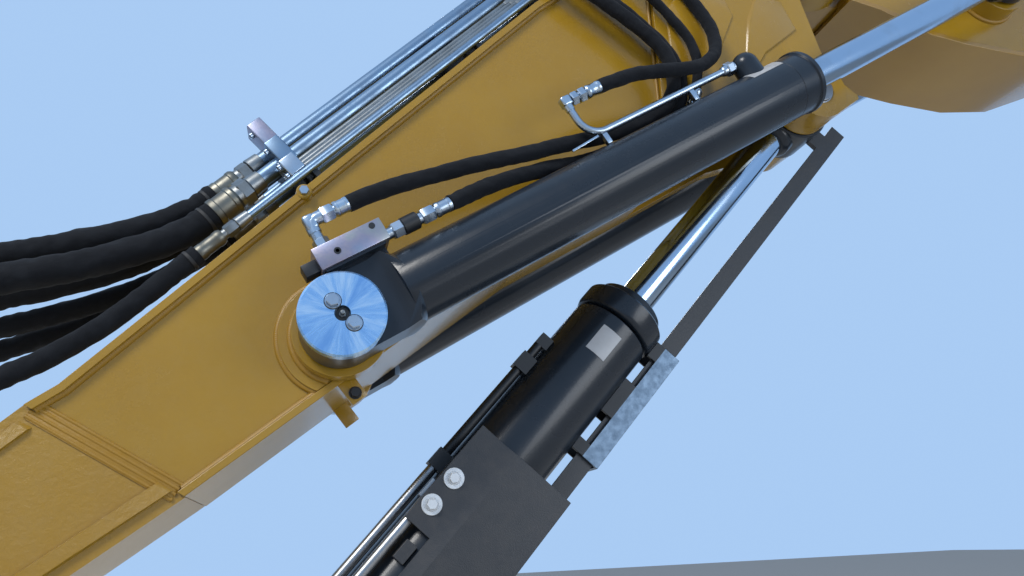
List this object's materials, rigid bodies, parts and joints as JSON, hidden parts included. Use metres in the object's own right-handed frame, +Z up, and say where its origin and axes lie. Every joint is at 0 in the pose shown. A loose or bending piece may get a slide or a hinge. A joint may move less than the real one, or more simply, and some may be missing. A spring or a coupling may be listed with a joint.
{
  "type": "wheeled excavator two-piece boom with cylinders",
  "caption": "Excavator base boom with hinged upper boom, adjusting cylinders along its sides, a central hoist cylinder with rod guard, pipes and hoses.",
  "frame": {"origin": "middle of the boom foot bore, on the pin's axis", "axes": "+X forward along the machine, +Y to its left, +Z up, in the raised pose of the picture"},
  "size_m": [4.2899, 0.618, 2.4535],
  "materials": {
    "boom_paint": "golden yellow gloss paint, dusty",
    "cylinder_paint": "dark anthracite paint",
    "rod_chrome": "hard chrome",
    "pin_zinc": "zinc plated, turned",
    "pipe_zinc": "zinc plated",
    "clamp_black": "matt",
    "hose_black": "black textile sleeve",
    "guard_paint": "dark grey paint"
  },
  "bodies": {
    "base_boom": {"boom_webs": "boom_paint", "boom_top_plate": "boom_paint", "boom_bottom_plate": "boom_paint", "head_floor": "boom_paint", "boom_foot": "boom_paint", "boom_head": "boom_paint", "pivot_pin": "pin_zinc", "adj_pin": "pin_zinc", "adj_pin_bosses": "boom_paint", "adj_pin_caps": "pin_zinc", "hoist_pin": "pin_zinc", "boom_pipes": "pipe_zinc", "pipe_clamps": "clamp_black", "hose_fittings": "pipe_zinc", "boom_hose_1": "hose_black", "boom_hose_2": "hose_black", "boom_hose_3": "hose_black", "boom_hose_4": "hose_black", "boom_hose_5": "hose_black", "boom_hose_6": "hose_black", "hose_ends": "pipe_zinc"},
    "upper_boom": {"upper_root": "boom_paint", "upper_bulkhead": "boom_paint", "adj_eye_bosses": "boom_paint", "upper_webs": "boom_paint", "upper_top_plate": "boom_paint", "upper_bottom_plate": "boom_paint", "upper_tip": "boom_paint", "arm_cylinder_lug": "boom_paint"},
    "adj_barrel_right": {"adj_barrel_right": "cylinder_paint", "adj_gland_right": "cylinder_paint", "valve_block_right": "pipe_zinc", "block_fittings_right": "pipe_zinc", "adj_tube_right": "pipe_zinc", "block_hose_right_1": "hose_black", "block_hose_right_2": "hose_black", "block_hose_right_3": "hose_black", "block_hose_right_4": "hose_black", "block_ends_right": "boom_paint"},
    "adj_rod_right": {"adj_rod_right": "rod_chrome", "adj_eye_pin_right": "pin_zinc"},
    "adj_barrel_left": {"adj_barrel_left": "cylinder_paint", "adj_gland_left": "cylinder_paint", "valve_block_left": "pipe_zinc", "block_fittings_left": "pipe_zinc", "adj_tube_left": "pipe_zinc", "block_hose_left_1": "hose_black", "block_hose_left_2": "hose_black", "block_hose_left_3": "hose_black", "block_hose_left_4": "hose_black", "block_ends_left": "boom_paint"},
    "adj_rod_left": {"adj_rod_left": "rod_chrome", "adj_eye_pin_left": "pin_zinc"},
    "hoist_rod": {"hoist_rod": "rod_chrome", "rod_guard": "guard_paint"},
    "hoist_barrel": {"hoist_barrel": "cylinder_paint", "hoist_gland": "cylinder_paint", "guard_guide": "pipe_zinc", "guard_plate": "guard_paint", "hoist_tubes": "pipe_zinc"}
  },
  "joints": [
    {"name": "upper_boom_pivot", "type": "hinge", "parent": "base_boom", "child": "upper_boom", "pos_m": [1.92, 0, 1.57], "axis": [0, -1, 0], "range_deg": [-40, 15]},
    {"name": "adj_swing_right", "type": "hinge", "parent": "base_boom", "child": "adj_barrel_right", "pos_m": [0.75, -0.235, 0.5], "axis": [0, -1, 0], "range_deg": [-8.31, 3.18]},
    {"name": "adj_stroke_right", "type": "slide", "parent": "adj_barrel_right", "child": "adj_rod_right", "axis": [0.8625, 0, 0.506], "range_m": [-0.2838, 0.1077]},
    {"name": "adj_swing_left", "type": "hinge", "parent": "base_boom", "child": "adj_barrel_left", "pos_m": [0.75, 0.235, 0.5], "axis": [0, -1, 0], "range_deg": [-8.31, 3.18]},
    {"name": "adj_stroke_left", "type": "slide", "parent": "adj_barrel_left", "child": "adj_rod_left", "axis": [0.8625, 0, 0.506], "range_m": [-0.2838, 0.1077]},
    {"name": "hoist_swing", "type": "hinge", "parent": "base_boom", "child": "hoist_rod", "pos_m": [1.89, 0, 1.15], "axis": [0, -1, 0], "range_deg": [-4, 12]},
    {"name": "hoist_stroke", "type": "slide", "parent": "hoist_rod", "child": "hoist_barrel", "axis": [-0.6756, 0, -0.7373], "range_m": [-0.36, 0.36]}
  ],
  "couplings": [
    {"joint": "adj_swing_right", "follows": "upper_boom_pivot", "ratio": 0.2053},
    {"joint": "adj_stroke_right", "follows": "upper_boom_pivot", "m_per_rad": 0.4037},
    {"joint": "adj_swing_left", "follows": "upper_boom_pivot", "ratio": 0.2053},
    {"joint": "adj_stroke_left", "follows": "upper_boom_pivot", "m_per_rad": 0.4037}
  ]
}
